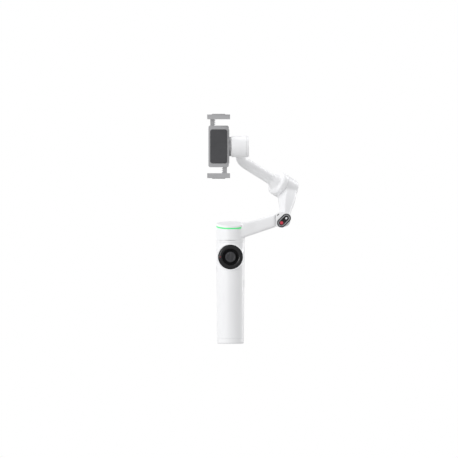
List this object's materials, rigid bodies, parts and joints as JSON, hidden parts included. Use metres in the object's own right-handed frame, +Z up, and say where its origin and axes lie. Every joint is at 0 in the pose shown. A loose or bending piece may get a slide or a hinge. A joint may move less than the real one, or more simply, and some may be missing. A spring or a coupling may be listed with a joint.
{
  "type": "gimbal stabilizer",
  "caption": "Hand-held motorised phone stabilizer: round handle with thumb controls, turning head with light arc, folding arm, telescoping rod and self-centring clamp.",
  "frame": {"origin": "centre of the handle's bottom face, at the mouth of the tripod thread", "axes": "+Z up along the handle axis, -Y towards the user (thumb stick side), +X towards the folding arm"},
  "size_m": [0.1197, 0.1089, 0.298],
  "materials": {
    "white_shell": "satin",
    "black_gloss": "gloss",
    "stick_rubber": "matt",
    "clamp_grey": "satin",
    "ring_matt": "matt",
    "pad_rubber": "matt",
    "steel": "brushed",
    "windings": "enamelled",
    "magnet_steel": "plated",
    "circuit_board": "solder mask",
    "frame_plastic": "moulded",
    "cell_wrap": "shrink wrap",
    "flex_film": "film",
    "rod_metal": "anodised",
    "green_light": "translucent, lit",
    "red_key": "gloss",
    "mark_light": "translucent",
    "trim_grey": "satin"
  },
  "bodies": {
    "handle": {"base_cap": "white_shell", "tripod_insert": "steel", "base_screws": "steel", "handle_front_shell": "white_shell", "handle_rear_shell": "white_shell", "inner_frame": "frame_plastic", "battery_cell": "cell_wrap", "main_board": "circuit_board", "usb_port": "steel", "joystick_housing": "frame_plastic", "control_board": "circuit_board", "trigger_pin": "steel", "rod_outer_tube": "rod_metal"},
    "control_pad": {"control_pad": "black_gloss"},
    "zoom_ring": {"zoom_ring": "ring_matt"},
    "stick_ring": {"joystick_gimbal_ring": "frame_plastic"},
    "stick": {"joystick_cap": "stick_rubber"},
    "trigger": {"trigger": "black_gloss"},
    "power_key": {"power_button": "white_shell"},
    "rod_second": {"rod_second_tube": "rod_metal"},
    "rod_third": {"rod_third_tube": "rod_metal"},
    "extension_head": {"rod_inner_tube": "rod_metal", "extension_collar": "white_shell", "pan_stator": "windings", "pan_bearings": "steel"},
    "pan_head": {"pan_shaft": "steel", "pan_rotor": "magnet_steel", "pan_head_arm": "white_shell", "arm_rear_cover": "white_shell", "arm_flex_cable": "flex_film", "light_ring": "green_light", "light_board": "circuit_board", "head_cap": "white_shell", "elbow_block": "white_shell", "elbow_panel": "black_gloss", "elbow_trim": "trim_grey", "mode_light": "mark_light", "elbow_pin": "steel", "elbow_washer": "steel"},
    "record_key": {"record_button": "red_key"},
    "upper_arm": {"upper_arm": "white_shell", "roll_motor_cap": "white_shell", "roll_stator": "windings", "roll_bearings": "steel"},
    "roll_arm": {"roll_arm": "white_shell", "roll_shaft": "steel", "roll_rotor": "magnet_steel", "tilt_motor_cap": "white_shell", "tilt_stator": "windings", "tilt_bearings": "steel"},
    "clamp": {"tilt_bracket": "clamp_grey", "tilt_shaft": "steel", "tilt_rotor": "magnet_steel", "clamp_base": "clamp_grey", "clamp_pad": "pad_rubber"},
    "pinion": {"clamp_pinion": "steel"},
    "upper_jaw": {"upper_jaw": "clamp_grey", "upper_jaw_pad": "pad_rubber"},
    "lower_jaw": {"lower_jaw": "clamp_grey", "lower_jaw_pad": "pad_rubber"}
  },
  "joints": [
    {"name": "pad_press", "type": "slide", "parent": "handle", "child": "control_pad", "axis": [0, 1, 0], "range_m": [0, 0.0004]},
    {"name": "zoom_turn", "type": "hinge", "parent": "handle", "child": "zoom_ring", "pos_m": [0, -0.015, 0.1126], "axis": [0, 1, 0], "continuous": true},
    {"name": "stick_up_down", "type": "hinge", "parent": "handle", "child": "stick_ring", "pos_m": [0, -0.015, 0.1126], "axis": [1, 0, 0], "range_deg": [-10, 10]},
    {"name": "stick_left_right", "type": "hinge", "parent": "stick_ring", "child": "stick", "pos_m": [0, -0.015, 0.1126], "axis": [0, 0, 1], "range_deg": [-10, 10]},
    {"name": "trigger_pull", "type": "hinge", "parent": "handle", "child": "trigger", "pos_m": [0, 0.0143, 0.1195], "axis": [1, 0, 0], "range_deg": [-7, 0]},
    {"name": "power_press", "type": "slide", "parent": "handle", "child": "power_key", "axis": [-1, 0, 0], "range_m": [0, 0.0006]},
    {"name": "rod_slide_lower", "type": "slide", "parent": "handle", "child": "rod_second", "axis": [0, 0, 1], "range_m": [0, 0.07]},
    {"name": "rod_slide_middle", "type": "slide", "parent": "rod_second", "child": "rod_third", "axis": [0, 0, 1], "range_m": [0, 0.07]},
    {"name": "rod_slide_upper", "type": "slide", "parent": "rod_third", "child": "extension_head", "axis": [0, 0, 1], "range_m": [0, 0.07]},
    {"name": "pan", "type": "hinge", "parent": "extension_head", "child": "pan_head", "pos_m": [0, 0, 0.14], "axis": [0, 0, 1], "continuous": true},
    {"name": "arm_fold", "type": "hinge", "parent": "pan_head", "child": "upper_arm", "pos_m": [0.0694, 0.012, 0.1599], "axis": [0, 1, 0], "range_deg": [0, 150]},
    {"name": "roll", "type": "hinge", "parent": "upper_arm", "child": "roll_arm", "pos_m": [-0.0154, -0.004, 0.256], "axis": [-0.7158, -0.5439, 0.4379], "range_deg": [-50, 110]},
    {"name": "tilt", "type": "hinge", "parent": "roll_arm", "child": "clamp", "pos_m": [-0.0154, -0.004, 0.256], "axis": [1, 0, 0], "range_deg": [-50, 90]},
    {"name": "record_press", "type": "slide", "parent": "pan_head", "child": "record_key", "axis": [0, 1, 0], "range_m": [0, 0.0005]},
    {"name": "jaw_open", "type": "slide", "parent": "clamp", "child": "upper_jaw", "axis": [0, 0, 1], "range_m": [-0.0049, 0.0051]},
    {"name": "lower_jaw_open", "type": "slide", "parent": "clamp", "child": "lower_jaw", "axis": [0, 0, 1], "range_m": [-0.0051, 0.0049]},
    {"name": "pinion_turn", "type": "hinge", "parent": "clamp", "child": "pinion", "pos_m": [-0.0154, -0.0134, 0.256], "axis": [0, 1, 0], "range_deg": [-59, 61.5]}
  ],
  "couplings": [
    {"joint": "lower_jaw_open", "follows": "jaw_open", "ratio": -1},
    {"joint": "pinion_turn", "follows": "jaw_open", "rad_per_m": 208.33}
  ]
}
